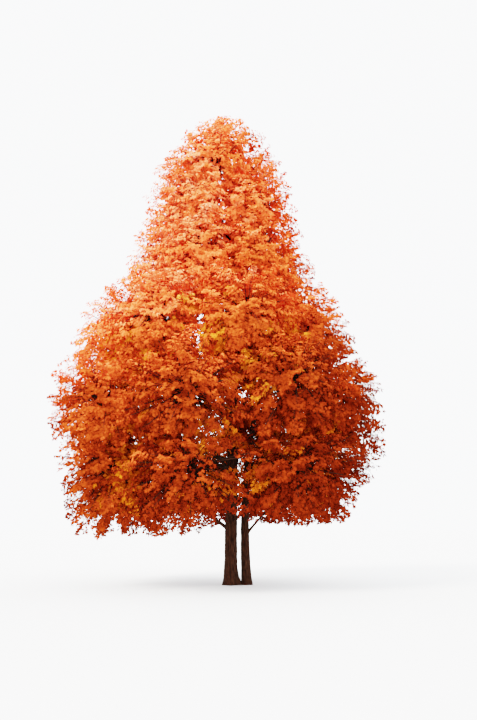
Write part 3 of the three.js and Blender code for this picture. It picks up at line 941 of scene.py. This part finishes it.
def cut_back(table, twigs):
    """Halves each twig whose tip holds no leaf, and drops a side twig whose middle holds none either."""
    ends = twigs["start"] + twigs["heading"] * twigs["length"][:, None]
    tip_holds = holds_leaf(hang(table, twigs["of"], ends))
    middle_holds = holds_leaf(hang(table, twigs["of"], (twigs["start"] + ends) / 2))
    twigs["length"] = twigs["length"] * np.where(tip_holds, 1, 0.5)
    is_own = np.arange(len(ends)) < len(table["length"])
    kept = tip_holds | middle_holds | is_own
    return {key: values[kept] for key, values in twigs.items()}


def own_twigs(table, twigs):
    """Each spray's own twig, on from the foot of the twig that bears it, as paths with their radii."""
    own = np.arange(len(table["length"]))
    runs = twigs["heading"][own] * twigs["length"][own][:, None]
    points = [hang(table, own, table["root"] + runs * share) for share in (0, 0.5, 1)]
    paths = np.stack([table["from"] - table["heading"] * TWIG_SINK, *points], axis=1)
    radii = np.broadcast_to([TWIG_FOOT, TWIG_MIDDLE * TWIG_FOOT, TWIG_END], (len(own), 3))
    return paths, radii, table["tier"]


def side_twigs(table, twigs):
    """The side twigs as straight paths with their radii."""
    side = slice(len(table["length"]), None)
    of = twigs["of"][side]
    feet = twigs["start"][side]
    tips = feet + twigs["heading"][side] * twigs["length"][side][:, None]
    paths = np.stack([hang(table, of, feet), hang(table, of, tips)], axis=1)
    return paths, np.full((len(of), 1), SIDE_TWIG_FOOT), table["tier"][of]


def foliage_nodes(tier):
    if tier["count"] == 1:
        return [f"foliage_{tier['name']}"]
    return [f"foliage_{tier['name']}_{i + 1}" for i in range(tier["count"])]


def add_twigs(masses, table, twigs):
    """The stems and twigs inside the masses, joined tier by tier."""
    material = wood_material("twig_bark", TWIG_LOOK)
    kinds = [own_twigs(table, twigs), side_twigs(table, twigs)]
    stem_shares = np.linspace(0, 1, STEM_BARK["rings"])
    for number, tier in enumerate(TIERS):
        parts = [spikes(paths[tiers == number], radii[tiers == number]) for paths, radii, tiers in kinds]
        stems = [mass["stem"] for mass in masses if mass["tier"] is tier]
        parts += [bark_limb(stem, STEM_BARK["sides"], stem_shares) for stem in stems]
        offsets = np.cumsum([0] + [len(points) for points, _ in parts])
        points = np.concatenate([points for points, _ in parts])
        triangles = np.concatenate([part[1] + offset for part, offset in zip(parts, offsets)])
        piece = add_piece(f"twigs_{tier['name']}", points, triangles, material)
        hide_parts(*foliage_nodes(tier))


# Leaves


def depth_inside(points):
    """How deep points lie in the crown, from 0 at its outside to 1 where it is shady."""
    x, y, z = points.T
    from_side = (1 - np.hypot(x - crown_middle(z), y) / crown_reach(z)) / INSIDE
    from_below = (z - crown_underside(x, y)) / INSIDE_HEIGHT
    return np.clip(np.minimum(from_side, from_below), 0, 1)


def leaf_places(table, twigs, rng):
    """Opposite pairs of leaves along every twig and one at its tip: their twigs, feet and outward sides."""
    middles = twigs["start"] + twigs["heading"] * (twigs["length"] / 2)[:, None]
    shares = twigs["length"] * between(LEAF_SHARES["outside"], LEAF_SHARES["inside"], depth_inside(middles))
    pairs = (LEAF_COUNT - len(shares)) / 2
    # each twig's count is rounded up or down by chance, and is never less than one pair
    counts = np.round(shares / shares.sum() * pairs + rng.uniform(-0.5, 0.5, len(shares)))
    counts = np.maximum(1, counts).astype(int)
    twig = np.repeat(np.arange(len(counts)), counts)
    step = np.concatenate([np.arange(count) for count in counts])
    share = (step + rng.uniform(*LEAF_START, len(step))) / counts[twig]
    spin = (step % 2) * math.pi / 2 + rng.uniform(-LEAF_SPIN, LEAF_SPIN, len(step))
    outward = twigs["across"][twig] * np.cos(spin)[:, None] + twigs["normal"][twig] * np.sin(spin)[:, None]
    twig = np.concatenate([twig, twig, np.arange(len(counts))])
    share = np.concatenate([share, share, np.ones(len(counts))])
    outward = np.concatenate([outward, -outward, np.zeros((len(counts), 3))])
    foot = twigs["start"][twig] + twigs["heading"][twig] * (share * twigs["length"][twig])[:, None]
    foot = hang(table, twigs["of"][twig], foot)
    kept = holds_leaf(foot) & (rng.random(len(foot)) >= window_openness(foot))
    return twig[kept], foot[kept], outward[kept]


def set_leaves(table, twigs, rng):
    """The points of every leaf, and its twig. Blades face out of their mass and up, and droop."""
    twig, foot, outward = leaf_places(table, twigs, rng)
    site = table["site"][twigs["of"][twig]]
    stalk = unit(twigs["heading"][twig] * math.cos(STALK_ANGLE) + outward * math.sin(STALK_ANGLE))
    size = between(LEAF_SIZES["outside"], LEAF_SIZES["inside"], depth_inside(foot))
    size = size * rng.uniform(*LEAF_SIZE_SPREAD, len(foot))
    facing = unit(foot - site) * LEAF_FACING["outward"] + UP * LEAF_FACING["up"]
    facing = unit(facing + unit(rng.normal(size=foot.shape)) * LEAF_FACING["by_chance"])
    axis = unit(stalk - facing * (stalk * facing).sum(axis=1)[:, None] - UP * LEAF_DROOP)
    facing = unit(facing - axis * (facing * axis).sum(axis=1)[:, None])
    right = np.cross(axis, facing)
    along, across, above = np.array(LEAF_OUTLINE).T[..., None]
    curl = rng.uniform(*LEAF_CURL, (len(foot), 1, 1))
    blade = along * axis[:, None] + across * right[:, None]
    blade += above * curl * facing[:, None]
    return foot[:, None] + size[:, None, None] * blade, twig


def deal_tints(table, twigs, rng):
    """A tint for each twig, near its spray's, with light and shade painted in: paler higher up, on the sunlit
    side and atop each mass, deeper inside the crown, and golden in the shade, which is partly a painted glow.
    """
    of = twigs["of"]
    middle = hang(table, of, twigs["start"] + twigs["heading"] * (twigs["length"] / 2)[:, None])
    height = middle[:, 2] / TREE_HEIGHT
    # how far towards the sunlit edge a twig lies, for the painted sunlight
    sunlit = (crown_middle(middle[:, 2]) - middle[:, 0]) / crown_reach(middle[:, 2])
    depth = depth_inside(middle)
    # painted light and shade: paler higher up and towards the sunlit edge, deeper lower down and towards the
    # far edge
    tone = np.interp(height, TONE_HEIGHTS, PAINTED_LIGHT_TONES) + PAINTED_SUN_SIDE_TONE * np.clip(sunlit, -1, 1)
    # painted light on the upper side of each mass, painted shade under it and deep inside the crown
    tone += PAINTED_TOP_LIGHT_TONE * (middle[:, 2] - table["site"][of][:, 2]) / MASS_DEPTH - PAINTED_INNER_SHADE_TONE * depth
    tone += rng.normal(0, SPRAY_TONE_SPREAD, len(table["length"]))[of]
    tone = np.clip(tone + rng.normal(0, TWIG_TONE_SPREAD, len(of)), 0, 1)
    tints = np.round(tone * (len(TINTS) - 1)).astype(int)
    # golden sprays in the shade: partly the shade leaves' own yellow, partly a painted glow of light through
    # the leaves
    shade = np.clip((depth - SHADE["depth"]) / (1 - SHADE["depth"]), 0, 1) * SHADE["most"]
    is_shaded = (rng.random(len(table["length"]))[of] < shade) & (height < SHADE["height"])
    golden = len(TINTS) + np.round(tone * (len(GOLDEN_SHADE_AND_GLOW_TINTS) - 1)).astype(int)
    return np.where(is_shaded, golden, tints)


def add_leaves(table, twigs, rng):
    """The leaves, joined tier by tier and tint by tint."""
    tints = deal_tints(table, twigs, rng)
    points, twig = set_leaves(table, twigs, rng)
    tiers = table["tier"][twigs["of"][twig]]
    for number, tier in enumerate(TIERS):
        for tint, colour in enumerate(TINTS + GOLDEN_SHADE_AND_GLOW_TINTS):
            chosen = points[(tiers == number) & (tints[twig] == tint)]
            if len(chosen) == 0:
                continue
            name = f"leaves_{tier['name']}_{tint + 1}"
            triangles = repeat_triangles(LEAF_FACES, len(chosen), len(LEAF_OUTLINE))
            piece = add_piece(name, chosen.reshape(-1, 3), triangles, leaf_material(name, colour))
            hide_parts(*foliage_nodes(tier))


# Camera, light and floor


def add_camera():
    """The photograph's view: a lens at eye height, tipped up to take in the whole tree."""
    camera = bpy.data.cameras.new("camera")
    camera.sensor_fit = "VERTICAL"
    camera.sensor_height = CAMERA["film"]
    camera.lens = CAMERA["lens"]
    camera.clip_end = CAMERA["far"]
    holder = bpy.data.objects.new("camera", camera)
    holder.location = CAMERA["place"]
    holder.rotation_euler = (math.radians(90 + CAMERA["tilt"]), 0.0, 0.0)
    bpy.context.scene.collection.objects.link(holder)
    bpy.context.scene.camera = holder


def add_light():
    """A bright even sky and a soft warm sun, and the tones that they are shown in."""
    world = bpy.data.worlds.new("studio")
    world.use_nodes = True
    background = world.node_tree.nodes["Background"]
    background.inputs["Color"].default_value = SKY["colour"]
    background.inputs["Strength"].default_value = SKY["strength"]
    bpy.context.scene.world = world
    bpy.context.scene.view_settings.view_transform = "Filmic"
    bpy.context.scene.view_settings.look = "Medium High Contrast"

    sun = bpy.data.lights.new("key_light", "SUN")
    sun.energy = SUN["strength"]
    sun.angle = SUN["spread"]
    sun.color = SUN["colour"]
    holder = bpy.data.objects.new("key_light", sun)
    holder.rotation_mode = "QUATERNION"
    holder.rotation_quaternion = Vector(SUN["from"]).to_track_quat("Z", "Y")
    bpy.context.scene.collection.objects.link(holder)


def add_floor():
    half = FLOOR["half"]
    level = -FLOOR["drop"]
    corners = [(-half, -half, level), (half, -half, level), (half, half, level), (-half, half, level)]
    mesh = bpy.data.meshes.new("floor")
    mesh.from_pydata(corners, [], [(0, 1, 2, 3)])
    material, shader = new_material("floor", FLOOR["roughness"], FLOOR["specular"])
    shader.inputs["Base Color"].default_value = (*FLOOR["colour"], 1.0)
    mesh.materials.append(material)
    floor = bpy.data.objects.new("floor", mesh)
    bpy.context.scene.collection.objects.link(floor)


add_camera()
add_light()
add_floor()
masses, boughs = grow_tree()
add_bark(boughs)
table = spray_table(masses)
rng = np.random.default_rng(GROWTH_SEED)
twigs = branch(table, rng)
add_leaves(table, twigs, rng)
add_twigs(masses, table, twigs)
